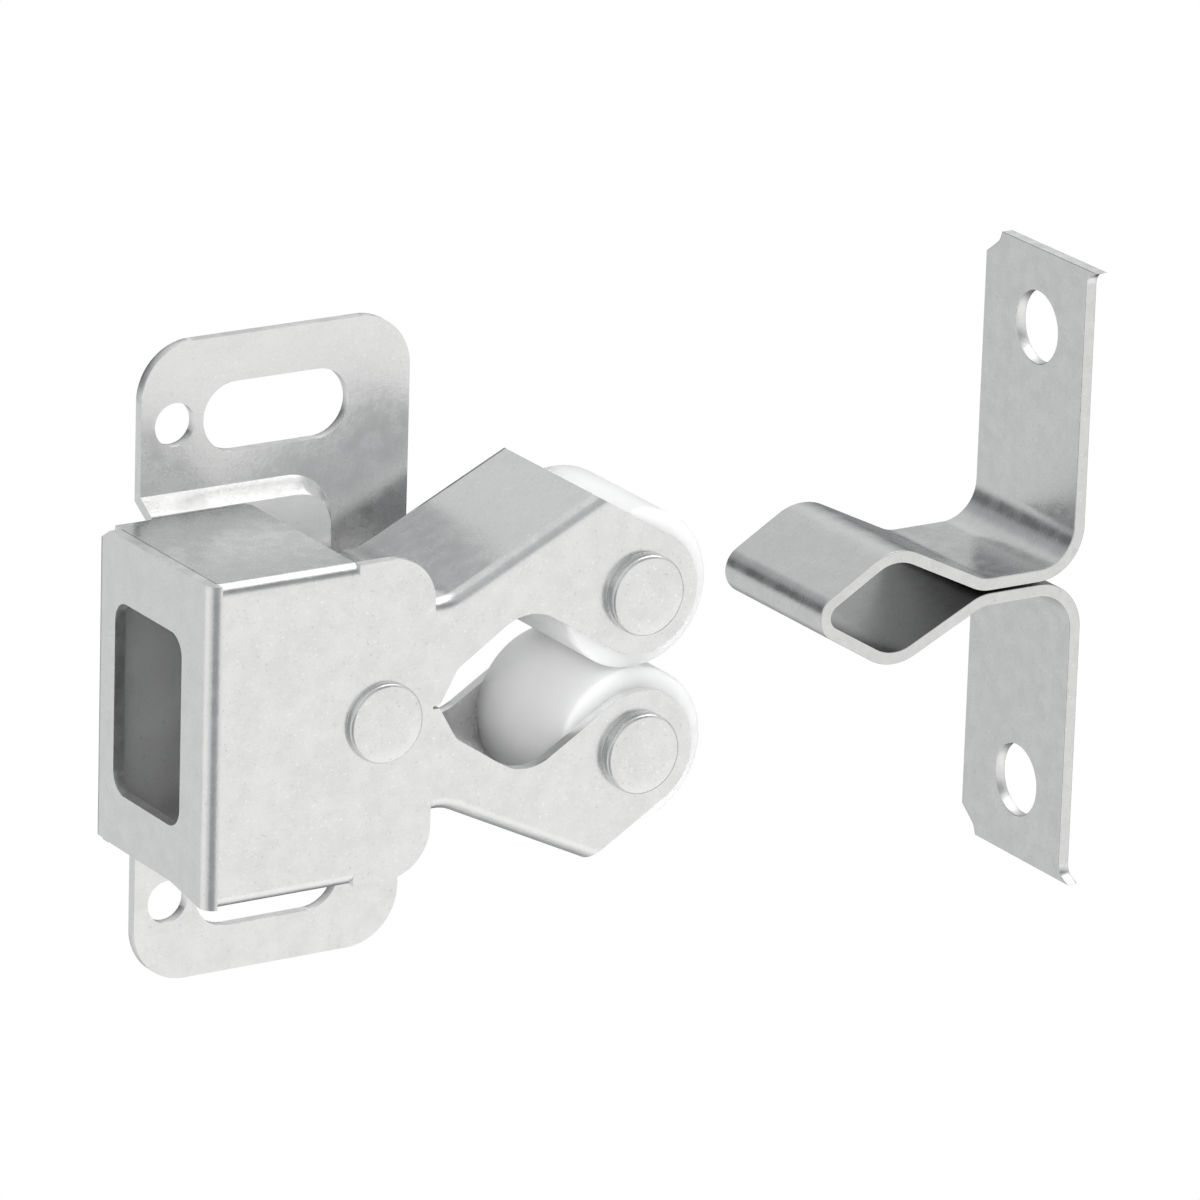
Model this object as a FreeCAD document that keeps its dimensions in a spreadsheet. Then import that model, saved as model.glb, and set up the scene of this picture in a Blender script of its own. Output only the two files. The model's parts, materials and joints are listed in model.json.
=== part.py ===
import FreeCAD, Part
import math
import os
import re

import Sketcher

# A double roller catch for a cabinet door, with its strike.
# X runs from the closed end of the housing towards the strike, Y from the front face back to the
# mounting surface and Z up. The origin is the middle of the catch's back face.

Vector = FreeCAD.Vector
LEFT_TURN = 1
RIGHT_TURN = -1
UPPER = 1
LOWER = -1

SIZES = {
    # Mounting plate
    "plate_width": 21.0,
    "plate_height": 46.0,
    "plate_corner": 4.0,
    "bracket_sheet": 0.8,
    "slot_length": 11.4,
    "slot_width": 5.0,
    "fixing_height": 17.2,
    "small_hole": 3.1,
    "small_hole_inset": 2.6,
    # Raised pad of the plate
    "pad_height": 24.8,
    "pad_reach": 4.5,
    "pad_raise": 1.6,
    "pad_slope": 30.0,
    "pad_corner": 3.6,
    # Housing folded from the pad
    "housing_overhang": 3.8,
    "housing_height": 22.8,
    "face_width": 17.3,
    "face_corner": 3.4,
    "front_bend": 1.0,
    "rear_bend": 1.0,
    "rear_corner_run": 1.9,
    "rear_corner_drop": 1.2,
    "foot_start": 1.0,
    "foot_run": 4.4,
    "foot_rise": 0.7,
    "window_height": 13.7,
    "window_front": 3.9,
    "window_rear": 4.4,
    "window_corner": 1.5,
    # Top and bottom of the housing, bent back from the face
    "flange_inset": 2.1,
    "flange_bend": 0.9,
    "flange_gap": 0.25,
    "notch_depth": 1.4,
    "seam_gap": 0.06,
    # Place of the two arms
    "tail_room": 4.7,
    "side_clearance": 0.25,
    "rear_clearance": 0.75,
    "stop_clearance": 0.15,
    "arm_width": 13.3,
    "arm_sheet": 0.8,
    "arm_bend": 1.0,
    "nest_clearance": 0.15,
    # Web of an arm, measured from the pivot axis
    "tail_length": 7.95,
    "tail_cheek": 4.8,
    "break_reach": 1.85,
    "break_round": 2.0,
    "dip_reach": 5.05,
    "dip_height": 7.2,
    "dip_round": 3.2,
    "tip_reach": 17.25,
    "tip_height": 13.1,
    # Cheeks of an arm
    "roller_reach": 20.95,
    "end_radius": 4.35,
    "arch_reach": 11.95,
    "arch_height": 6.2,
    "arch_round": 3.5,
    "knee_reach": 6.35,
    "knee_height": 2.5,
    "knee_round": 1.5,
    "meet_reach": 5.0,
    "meet_gap": 0.1,
    "eye_radius": 3.7,
    "joggle_gap": 0.2,
    # Rollers
    "roller_radius": 5.7,
    "nip_gap": 0.06,
    "roller_end_gap": 0.2,
    "roller_edge": 0.35,
    "running_clearance": 0.05,
    # Rivets
    "pivot_radius": 2.0,
    "pivot_head_radius": 2.85,
    "pivot_head_height": 0.6,
    "pivot_tail_height": 1.2,
    "axle_radius": 1.5,
    "axle_head_radius": 2.9,
    "axle_head_height": 0.9,
    "axle_tail_radius": 2.5,
    "axle_tail_height": 0.7,
    "head_round": 0.3,
    "crown_radius": 1.8,
    "crown_drop": 0.08,
    "crown_round": 4.0,
    # Torsion spring
    "wire_radius": 0.45,
    "coil_gap": 0.55,
    "coil_turns": 4.0,
    "coil_pitch": 1.0,
    "leg_inset": 0.8,
    "leg_clearance": 0.15,
    # Strike
    "strike_distance": 60.28,
    "strike_setback": 3.45,
    "strike_height": 45.6,
    "strike_width": 12.5,
    "strike_sheet": 0.9,
    "end_trim_width": 1.85,
    "end_trim_height": 1.9,
    "end_trim_lean": 0.3,
    "end_trim_knee": 0.75,
    "ear_reach": 1.3,
    "ear_height": 1.7,
    "ear_knee": 0.5,
    "end_round": 0.9,
    "strike_bend": 3.7,
    "neck_gap": 0.2,
    "neck_round": 2.5,
    "bulb_reach": 16.0,
    "bulb_height": 4.7,
    "bulb_round": 3.8,
    "bulb_front_slope": 31.0,
    "bulb_rear_slope": 26.0,
    "bulb_tip": 1.8,
    "strike_hole": 5.3,
    "strike_fixing_height": 17.0,
    "strike_hole_shift": 0.4,
}

doc = FreeCAD.newDocument("roller_catch")
sheet = doc.addObject("Spreadsheet::Sheet", "Sizes")
for row, (alias, size) in enumerate(SIZES.items(), start=1):
    sheet.set("A%d" % row, alias)
    sheet.set("B%d" % row, str(size))
    sheet.setAlias("B%d" % row, alias)
doc.recompute()

# Places worked out from the driving sizes
WALL_X = "(-plate_width / 2 - housing_overhang)"
FACE_RIGHT = "(%s + face_width)" % WALL_X
PIVOT_X = "(%s + bracket_sheet + tail_room + tail_length)" % WALL_X
PAD_FRONT = "(pad_raise + bracket_sheet)"
ARM_MIDDLE = "(%s + rear_clearance + arm_width / 2)" % PAD_FRONT
HOUSING_DEPTH = "(%s + arm_width / 2 + side_clearance + bracket_sheet)" % ARM_MIDDLE
TAIL_HEIGHT = "(housing_height / 2 - bracket_sheet - stop_clearance)"
ROLLER_HEIGHT = "(roller_radius + nip_gap / 2)"
INNER_WIDTH = "(arm_width - 2 * arm_sheet)"
NEST_WIDTH = "(%s - 2 * nest_clearance)" % INNER_WIDTH
JOGGLE_X = "(eye_radius + joggle_gap)"
FALL = "atan((%s - dip_height) / (dip_reach + break_reach))" % TAIL_HEIGHT
RISE = "atan((tip_height - dip_height) / (tip_reach - dip_reach))"


def bound(text):
    """Every word with an underscore is a cell of the sheet."""
    return re.sub(r"\b[a-z]+(?:_[a-z]+)+\b", lambda found: "Sizes." + found.group(0), text)


def number(text):
    value = sheet.evalExpression(bound(text))
    return float(getattr(value, "Value", value))


def tie(owner, name, text):
    owner.setExpression(name, bound(text))


def place(item, x, y, z):
    tie(item, "Placement.Base.x", x)
    tie(item, "Placement.Base.y", y)
    tie(item, "Placement.Base.z", z)


def tangent_point(outside, centre, radius, turn, leaving):
    """Where a line between a point and a circle touches it, for a path that turns that way."""
    across = outside - centre
    half = math.acos(radius / across.Length)
    base = math.atan2(across.y, across.x)
    for angle in (base + half, base - half):
        touch = centre + Vector(math.cos(angle), math.sin(angle)) * radius
        along = Vector(-math.sin(angle), math.cos(angle)) * turn
        travel = outside - touch if leaving else touch - outside
        if travel.dot(along) > 0:
            return touch
    raise ValueError("the point lies inside the circle")


class Outline:
    """A closed outline in a sketch. Its corners, centres and radii are tied to the sheet."""

    def __init__(self, body, name, role="XZ_Plane", lift=None):
        self.sketch = body.newObject("Sketcher::SketchObject", name)
        plane = [item for item in body.Origin.OriginFeatures if item.Role == role][0]
        self.sketch.AttachmentSupport = [(plane, "")]
        self.sketch.MapMode = "FlatFace"
        if lift:
            tie(self.sketch, "AttachmentOffset.Base.z", lift)
        self.stops = []

    def add(self, kind, x, y, **more):
        self.stops.append(dict(kind=kind, at=(x, y), spot=Vector(number(x), number(y)), **more))

    def corner(self, x, y):
        self.add("corner", x, y)

    def rounded(self, x, y, radius):
        """A corner with a fillet."""
        self.add("rounded", x, y, radius=radius)

    def around(self, x, y, radius, turn):
        """An arc about a fixed centre, tangent to the lines on both sides."""
        self.add("around", x, y, radius=radius, turn=turn)

    def arc_from(self, x, y, start, turn):
        """An arc about a fixed centre from a fixed start, tangent to the line that follows."""
        self.add("arc_from", x, y, end=start, turn=turn)

    def arc_to(self, x, y, end, turn):
        """An arc about a fixed centre to a fixed end, tangent to the line before."""
        self.add("arc_to", x, y, end=end, turn=turn)

    def constrain(self, *parts):
        return self.sketch.addConstraint(Sketcher.Constraint(*parts))

    def size(self, text, *parts):
        index = self.constrain(*parts, number(text))
        tie(self.sketch, "Constraints[%d]" % index, text)

    def fix(self, geometry, position, at):
        self.size(at[0], "DistanceX", -1, 1, geometry, position)
        self.size(at[1], "DistanceY", -1, 1, geometry, position)

    def lay_out(self, index):
        """First positions of the arc at one stop, close to the solved ones."""
        stop = self.stops[index]
        before = self.stops[index - 1]["spot"]
        after = self.stops[(index + 1) % len(self.stops)]["spot"]
        spot = stop["spot"]
        if stop["kind"] == "rounded":
            back = (before - spot).normalize()
            ahead = (after - spot).normalize()
            radius = number(stop["radius"])
            half = back.getAngle(ahead) / 2
            stop["turn"] = LEFT_TURN if back.cross(ahead).z < 0 else RIGHT_TURN
            stop["centre"] = spot + (back + ahead).normalize() * (radius / math.sin(half))
            stop["entry"] = spot + back * (radius / math.tan(half))
            stop["exit"] = spot + ahead * (radius / math.tan(half))
        elif stop["kind"] == "around":
            radius = number(stop["radius"])
            stop["centre"] = spot
            stop["entry"] = tangent_point(before, spot, radius, stop["turn"], False)
            stop["exit"] = tangent_point(after, spot, radius, stop["turn"], True)
        elif stop["kind"] == "corner":
            stop["entry"] = stop["exit"] = spot
        else:
            fixed = Vector(number(stop["end"][0]), number(stop["end"][1]))
            radius = (fixed - spot).Length
            stop["centre"] = spot
            starting = stop["kind"] == "arc_from"
            other = after if starting else before
            touch = tangent_point(other, spot, radius, stop["turn"], starting)
            stop["entry"], stop["exit"] = (fixed, touch) if starting else (touch, fixed)

    def draw_arc(self, stop):
        if stop["kind"] == "corner":
            return
        first, last = stop["entry"], stop["exit"]
        if stop["turn"] == RIGHT_TURN:
            first, last = last, first
        centre = stop["centre"]
        start = math.atan2(first.y - centre.y, first.x - centre.x)
        end = math.atan2(last.y - centre.y, last.x - centre.x)
        circle = Part.Circle(centre, Vector(0, 0, 1), (first - centre).Length)
        stop["arc"] = self.sketch.addGeometry(Part.ArcOfCircle(circle, start, end))
        stop["ends"] = (1, 2) if stop["turn"] == LEFT_TURN else (2, 1)

    def hold(self, stop, line_in, line_out):
        """Constraints of one stop between the line that arrives and the one that leaves."""
        kind = stop["kind"]
        if kind == "corner":
            self.constrain("Coincident", line_in, 2, line_out, 1)
            self.fix(line_out, 1, stop["at"])
            return
        entry, leave = stop["ends"]
        joined = {"arc_from": ("Coincident", "Tangent"), "arc_to": ("Tangent", "Coincident")}
        at_entry, at_exit = joined.get(kind, ("Tangent", "Tangent"))
        self.constrain(at_entry, line_in, 2, stop["arc"], entry)
        self.constrain(at_exit, line_out, 1, stop["arc"], leave)
        if kind == "rounded":
            point = self.sketch.addGeometry(Part.Point(stop["spot"]), True)
            self.fix(point, 1, stop["at"])
            self.constrain("PointOnObject", point, 1, line_in)
            self.constrain("PointOnObject", point, 1, line_out)
            self.size(stop["radius"], "Radius", stop["arc"])
        elif kind == "around":
            self.fix(stop["arc"], 3, stop["at"])
            self.size(stop["radius"], "Radius", stop["arc"])
        else:
            self.fix(stop["arc"], 3, stop["at"])
            self.fix(stop["arc"], entry if kind == "arc_from" else leave, stop["end"])

    def close(self):
        stops = self.stops
        for index in range(len(stops)):
            self.lay_out(index)
        lines = []
        for index, stop in enumerate(stops):
            following = stops[(index + 1) % len(stops)]
            line = Part.LineSegment(stop["exit"], following["entry"])
            lines.append(self.sketch.addGeometry(line))
        for stop in stops:
            self.draw_arc(stop)
        for index, stop in enumerate(stops):
            self.hold(stop, lines[index - 1], lines[index])
        doc.recompute()
        if not self.sketch.FullyConstrained:
            raise RuntimeError("the outline %s isn't fully constrained" % self.sketch.Label)
        return self.sketch


def circle_sketch(body, name, discs, role="XZ_Plane"):
    """Circles given as centre x, centre y and radius."""
    outline = Outline(body, name, role)
    for x, y, radius in discs:
        centre = Vector(number(x), number(y))
        circle = Part.Circle(centre, Vector(0, 0, 1), number(radius))
        index = outline.sketch.addGeometry(circle)
        outline.fix(index, 3, (x, y))
        outline.size(radius, "Radius", index)
    doc.recompute()
    return outline.sketch


def slot_sketch(body, name, z):
    """A slot along X, centred on the plate's width."""
    outline = Outline(body, name)
    sketch = outline.sketch
    reach = "(slot_length - slot_width) / 2"
    radius = number("slot_width / 2")
    right, left = Vector(number(reach), number(z)), Vector(-number(reach), number(z))
    up = Vector(0, radius)
    arcs = []
    for centre, start in ((right, -math.pi / 2), (left, math.pi / 2)):
        circle = Part.Circle(centre, Vector(0, 0, 1), radius)
        arcs.append(sketch.addGeometry(Part.ArcOfCircle(circle, start, start + math.pi)))
    top = sketch.addGeometry(Part.LineSegment(right + up, left + up))
    bottom = sketch.addGeometry(Part.LineSegment(left - up, right - up))
    for first, second in ((arcs[0], top), (top, arcs[1]), (arcs[1], bottom), (bottom, arcs[0])):
        outline.constrain("Tangent", first, 2, second, 1)
    outline.constrain("Equal", *arcs)
    outline.size("slot_width / 2", "Radius", arcs[0])
    outline.fix(arcs[0], 3, (reach, z))
    outline.fix(arcs[1], 3, ("-" + reach, z))
    doc.recompute()
    return sketch


def new_body(name):
    body = doc.addObject("PartDesign::Body", name)
    body.Label = name
    doc.recompute()
    return body


def extrude(body, kind, name, sketch, length=None, symmetric=False, back=False, taper=None):
    feature = body.newObject("PartDesign::" + kind, name)
    feature.Profile = sketch
    if length:
        tie(feature, "Length", length)
    else:
        feature.Type = "ThroughAll"
    feature.SideType = "Symmetric" if symmetric else "One side"
    feature.Reversed = back
    if taper:
        tie(feature, "TaperAngle", taper)
    doc.recompute()
    if kind == "Pocket" and feature.Shape.Volume > feature.BaseFeature.Shape.Volume - 1e-6:
        raise RuntimeError("the pocket %s cuts nothing" % name)
    return feature


def pad(body, name, sketch, length, **more):
    return extrude(body, "Pad", name, sketch, length, **more)


def pocket(body, name, sketch, length=None, **more):
    return extrude(body, "Pocket", name, sketch, length, **more)


def fillet(body, name, radius, chosen):
    """Rounds the edges of the body's tip that the test picks."""
    base = body.Tip
    edges = base.Shape.Edges
    names = ["Edge%d" % (n + 1) for n, edge in enumerate(edges) if chosen(edge)]
    feature = body.newObject("PartDesign::Fillet", name)
    feature.Base = (base, names)
    tie(feature, "Radius", radius)
    doc.recompute()
    return feature


def middle(edge):
    first, last = edge.ParameterRange
    return edge.valueAt((first + last) / 2)


def close_to(value, text):
    return abs(value - number(text)) < 1e-4


# Bracket: one sheet, folded into a mounting plate, a side wall and a front face


def plate(body):
    outline = Outline(body, "PlateOutline")
    for x, z in (("-1", "1"), ("1", "1"), ("1", "-1"), ("-1", "-1")):
        outline.rounded(x + " * plate_width / 2", z + " * plate_height / 2", "plate_corner")
    pad(body, "Plate", outline.close(), "bracket_sheet")


def raised_pad(body):
    """The middle of the plate stands forward and is open towards the side wall."""
    shrink = "(bracket_sheet / cos(pad_slope) - bracket_sheet * tan(pad_slope))"
    spare_left = "(%s - pad_raise)" % WALL_X

    def pad_outline(name, inset, lift=None):
        outline = Outline(body, name, lift=lift)
        height = "(pad_height / 2 - %s)" % inset
        reach = "pad_reach - " + inset
        outline.corner(spare_left, height)
        outline.rounded(reach, height, "pad_corner - " + inset)
        outline.rounded(reach, "-" + height, "pad_corner - " + inset)
        outline.corner(spare_left, "-" + height)
        return outline.close()

    raised = pad_outline("RaisedOutline", "0", "bracket_sheet")
    pad(body, "Raised", raised, "pad_raise", taper="-pad_slope")
    pocket(body, "Hollow", pad_outline("HollowOutline", shrink), "pad_raise", back=True, taper="-pad_slope")
    trim = Outline(body, "TrimOutline")
    for x, side in (("-plate_width", "1"), ("-plate_width / 2", "1"),
                    ("-plate_width / 2", "-1"), ("-plate_width", "-1")):
        trim.corner(x, side + " * pad_height")
    pocket(body, "Trim", trim.close(), HOUSING_DEPTH, back=True)


def housing(body):
    """The strip from the pad to the wall, the wall and the front face."""
    outline = Outline(body, "HousingOutline", "XY_Plane")
    outline.corner("-plate_width / 2 + bracket_sheet", "-pad_raise")
    outline.rounded(WALL_X, "-pad_raise", "rear_bend")
    face = "-" + HOUSING_DEPTH
    outline.rounded(WALL_X, face, "front_bend")
    outline.corner(FACE_RIGHT, face)
    outline.corner(FACE_RIGHT, face + " + bracket_sheet")
    inner = WALL_X + " + bracket_sheet"
    outline.rounded(inner, face + " + bracket_sheet", "front_bend - bracket_sheet")
    outline.rounded(inner, "-" + PAD_FRONT, "rear_bend - bracket_sheet")
    outline.corner("-plate_width / 2 + bracket_sheet", "-" + PAD_FRONT)
    pad(body, "Housing", outline.close(), "housing_height", symmetric=True)

    def face_corners(edge):
        spot = middle(edge)
        return close_to(spot.x, FACE_RIGHT) and close_to(abs(spot.z), "housing_height / 2") \
            and close_to(edge.Length, "bracket_sheet")

    fillet(body, "FaceCorners", "face_corner", face_corners)
    cut = Outline(body, "RearCornerOutline", "YZ_Plane", lift=WALL_X)
    run = "-(pad_raise + rear_corner_run)"
    cut.corner(run, "housing_height / 2")
    cut.corner(run, "housing_height")
    cut.corner("0", "housing_height")
    cut.corner("0", "housing_height / 2 - rear_corner_drop")
    cut.corner("-pad_raise", "housing_height / 2 - rear_corner_drop")
    pocket(body, "RearCorner", cut.close(), "housing_overhang", back=True)


def wall_foot(body):
    """The wall's lower edge rises behind the face and is higher than the face's from there on."""
    front = "(-%s + foot_start)" % HOUSING_DEPTH
    risen = "-(housing_height / 2 - foot_rise)"
    foot = Outline(body, "WallFootOutline", "YZ_Plane", lift=WALL_X)
    foot.corner("0", "-housing_height")
    foot.corner(front, "-housing_height")
    foot.corner(front, "-housing_height / 2")
    foot.corner(front + " + foot_run", risen)
    foot.corner("0", risen)
    pocket(body, "WallFoot", foot.close(), "bracket_sheet", back=True)


def housing_flanges(body):
    """Top and bottom of the housing. The arms' tails stop against them."""
    start = "(%s + bracket_sheet + seam_gap)" % WALL_X
    end = "(%s - flange_inset)" % PIVOT_X
    face = "-" + HOUSING_DEPTH
    rear = "-(%s + flange_gap)" % PAD_FRONT
    for name, side in (("Top", "1"), ("Bottom", "-1")):
        outer = side + " * housing_height / 2"
        inner = side + " * (housing_height / 2 - bracket_sheet)"
        root = side + " * (housing_height / 2 - notch_depth)"
        notch = Outline(body, name + "NotchOutline", lift=HOUSING_DEPTH)
        notch.corner(start, root)
        notch.corner(start, side + " * housing_height")
        notch.corner(end, side + " * housing_height")
        notch.corner(end, root)
        pocket(body, name + "Notch", notch.close(), "bracket_sheet")
        flange = Outline(body, name + "FlangeOutline", "YZ_Plane", lift=start)
        flange.corner(face, root)
        flange.rounded(face, outer, "flange_bend")
        flange.corner(rear, outer)
        flange.corner(rear, inner)
        flange.rounded(face + " + bracket_sheet", inner, "flange_bend - bracket_sheet")
        flange.corner(face + " + bracket_sheet", root)
        pad(body, name + "Flange", flange.close(), "%s - %s" % (end, start))


def bracket_openings(body):
    window = Outline(body, "WindowOutline", "YZ_Plane", lift=WALL_X)
    front = "-%s + window_front" % HOUSING_DEPTH
    for y, z in ((front, "1"), ("-window_rear", "1"), ("-window_rear", "-1"), (front, "-1")):
        window.rounded(y, z + " * window_height / 2", "window_corner")
    pocket(body, "Window", window.close(), "2 * bracket_sheet", back=True)
    for name, z in (("UpperSlot", "fixing_height"), ("LowerSlot", "-fixing_height")):
        slot = slot_sketch(body, name + "Outline", z)
        pocket(body, name, slot, "2 * bracket_sheet", symmetric=True)
    hole_x = "-plate_width / 2 + small_hole_inset"
    discs = [(hole_x, side + " * fixing_height", "small_hole / 2") for side in ("1", "-1")]
    holes = circle_sketch(body, "SmallHoleCircles", discs)
    pocket(body, "SmallHoles", holes, "2 * bracket_sheet", symmetric=True)
    bore = circle_sketch(body, "PivotBoreCircle", [(PIVOT_X, "0", "pivot_radius")])
    pocket(body, "PivotBore", bore, "2 * " + HOUSING_DEPTH, symmetric=True)


def catch_bracket():
    body = new_body("catch_bracket")
    plate(body)
    raised_pad(body)
    housing(body)
    wall_foot(body)
    housing_flanges(body)
    bracket_openings(body)
    return body


# Arms: folded channels on the pivot rivet, the upper one outside the lower one at their eyes


def arm_outline(body, side):
    """Side view of an arm, from the tail along the web to the roller end and back."""

    def z(text):
        return "%d * (%s)" % (side, text)

    turn = RIGHT_TURN * side
    outline = Outline(body, "ArmOutline")
    outline.corner("-tail_length", z(TAIL_HEIGHT))
    outline.rounded("-break_reach", z(TAIL_HEIGHT), "break_round")
    outline.rounded("dip_reach", z("dip_height"), "dip_round")
    outline.corner("tip_reach", z("tip_height"))
    outline.around("roller_reach", z(ROLLER_HEIGHT), "end_radius", turn)
    outline.rounded("arch_reach", z("arch_height"), "arch_round")
    outline.rounded("knee_reach", z("knee_height"), "knee_round")
    outline.corner("meet_reach", z("meet_gap"))
    eye_start = ("sqrt(eye_radius ^ 2 - meet_gap ^ 2)", z("meet_gap"))
    outline.arc_from("0", "0", eye_start, turn)
    outline.corner("-tail_length", z(TAIL_HEIGHT + " - tail_cheek"))
    return outline.close()


def arm_inside(body, side):
    """The space inside the channel: below the web and past the web's end."""

    def z(text):
        return "%d * (%s)" % (side, text)

    turned = "(1 + cos(%s + %s))" % (FALL, RISE)
    dip_x = "dip_reach - arm_sheet * (sin(%s) - sin(%s)) / %s" % (FALL, RISE, turned)
    dip_z = "dip_height - arm_sheet * (cos(%s) + cos(%s)) / %s" % (FALL, RISE, turned)
    outline = Outline(body, "InsideOutline")
    outline.corner("-2 * tail_length", z(TAIL_HEIGHT + " - arm_sheet"))
    outline.rounded("-break_reach - arm_sheet * tan(%s / 2)" % FALL, z(TAIL_HEIGHT + " - arm_sheet"),
                    "break_round - arm_sheet")
    outline.rounded(dip_x, z(dip_z), "dip_round + arm_sheet")
    outline.corner("tip_reach + arm_sheet * sin(%s)" % RISE, z("tip_height - arm_sheet * cos(%s)" % RISE))
    outline.corner("tip_reach - arm_sheet * sin(%s)" % RISE, z("tip_height + arm_sheet * cos(%s)" % RISE))
    outline.corner("2 * roller_reach", z("tip_height + arm_sheet * cos(%s)" % RISE))
    outline.corner("2 * roller_reach", z("-tip_height"))
    outline.corner("-2 * tail_length", z("-tip_height"))
    return outline.close()


def channel(name, side, width, cheek="arm_sheet"):
    """A folded arm of that outside width, with its pivot bore and its rivet holes."""
    body = new_body(name)
    pad(body, "Form", arm_outline(body, side), width, symmetric=True)

    def web_edges(edge):
        spot = middle(edge)
        on_side = close_to(abs(spot.y), width + " / 2")
        over_web = side * spot.z > number("dip_height") and spot.x < number("tip_reach")
        return on_side and over_web and edge.BoundBox.YLength < 1e-6 and spot.x < number("arch_reach")

    fillet(body, "Bends", "arm_bend", web_edges)
    inside = "%s - 2 * (%s)" % (width, cheek)
    pocket(body, "Inside", arm_inside(body, side), inside, symmetric=True)
    roller_z = "%d * %s" % (side, ROLLER_HEIGHT)
    circles = [("0", "0", "pivot_radius + running_clearance"), ("roller_reach", roller_z, "axle_radius")]
    bores = circle_sketch(body, "BoreCircles", circles)
    pocket(body, "Bores", bores, "2 * arm_width", symmetric=True)
    return body


def stretch(name, channel_body, left, right):
    """The part of a channel between two planes."""
    box = doc.addObject("Part::Box", name + "Zone")
    tie(box, "Length", "%s - %s" % (right, left))
    tie(box, "Width", "2 * arm_width")
    tie(box, "Height", "4 * tip_height")
    place(box, left, "-arm_width", "-2 * tip_height")
    common = doc.addObject("Part::Common", name)
    common.Base = channel_body
    common.Tool = box
    return common


def upper_arm():
    body = channel("upper_arm", UPPER, "arm_width")
    place(body, PIVOT_X, "-" + ARM_MIDDLE, "0")
    return body


def lower_arm():
    """Like the upper arm, but joggled inwards near the pivot to fit inside it."""
    joggle_end = "(%s + arm_sheet)" % JOGGLE_X
    thick = "(arm_width - %s) / 2 + arm_sheet" % NEST_WIDTH
    wide = channel("LowerWide", LOWER, "arm_width")
    narrow = channel("LowerNarrow", LOWER, NEST_WIDTH)
    step = channel("LowerStep", LOWER, "arm_width", thick)
    fuse = doc.addObject("Part::MultiFuse", "lower_arm")
    fuse.Label = "lower_arm"
    fuse.Shapes = [stretch("LowerFront", wide, JOGGLE_X, "2 * roller_reach"),
                   stretch("LowerTail", narrow, "-2 * tail_length", joggle_end),
                   stretch("LowerJoggle", step, JOGGLE_X, joggle_end)]
    fuse.Refine = True
    place(fuse, PIVOT_X, "-" + ARM_MIDDLE, "0")
    return fuse


# Turned pieces: rollers and rivets


def turned(name, stops):
    """A body of revolution about Y. Its outline's stops are radius, place along Y and rounding."""
    body = new_body(name)
    outline = Outline(body, "Section", "XY_Plane")
    for radius, y, rounding in stops:
        if rounding:
            outline.rounded(radius, y, rounding)
        else:
            outline.corner(radius, y)
    sketch = outline.close()
    feature = body.newObject("PartDesign::Revolution", "Turned")
    feature.Profile = sketch
    feature.ReferenceAxis = (sketch, ["V_Axis"])
    feature.Angle = 360
    doc.recompute()
    return body


def roller(name, side):
    half = "(%s / 2 - roller_end_gap)" % INNER_WIDTH
    bore = "axle_radius + running_clearance"
    stops = [(bore, "-" + half, None), ("roller_radius", "-" + half, "roller_edge"),
             ("roller_radius", half, "roller_edge"), (bore, half, None)]
    body = turned(name, stops)
    place(body, PIVOT_X + " + roller_reach", "-" + ARM_MIDDLE, "%d * %s" % (side, ROLLER_HEIGHT))
    return body


def rivet(name, shank, head, head_height, tail, tail_height, front, back):
    """A rivet with its low crowned head on the front and its tail behind the back."""
    top = "%s - %s" % (front, head_height)
    end = "%s + %s" % (back, tail_height)
    stops = [("0", top, None), ("crown_radius", top, "crown_round"),
             (head, top + " + crown_drop", "head_round"), (head, front, None),
             (shank, front, None), (shank, back, None), (tail, back, None),
             (tail, end, "head_round"), ("0", end, None)]
    return turned(name, stops)


def roller_rivet(name, side):
    body = rivet(name, "axle_radius", "axle_head_radius", "axle_head_height", "axle_tail_radius",
                 "axle_tail_height", "-arm_width / 2", "arm_width / 2")
    place(body, PIVOT_X + " + roller_reach", "-" + ARM_MIDDLE, "%d * %s" % (side, ROLLER_HEIGHT))
    return body


def pivot_rivet():
    body = rivet("pivot_rivet", "pivot_radius", "pivot_head_radius", "pivot_head_height",
                 "pivot_head_radius", "pivot_tail_height", "-" + HOUSING_DEPTH, "-pad_raise")
    place(body, PIVOT_X, "0", "0")
    return body


# Torsion spring: a coil on the pivot rivet whose legs press the two tails apart


def coil_path(radius, pitch, height, start):
    """A helix about Z, in lengths of about a turn each, from the angle start in degrees."""
    lengths = math.ceil(height / pitch)
    rise = height / lengths
    edges = []
    for n in range(lengths):
        edge = Part.makeHelix(pitch, rise, radius).Edges[0]
        edge.rotate(Vector(), Vector(0, 0, 1), start + 360 * n * rise / pitch)
        edge.translate(Vector(0, 0, n * rise - height / 2))
        edges.append(edge)
    return Part.Wire(edges)


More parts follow.
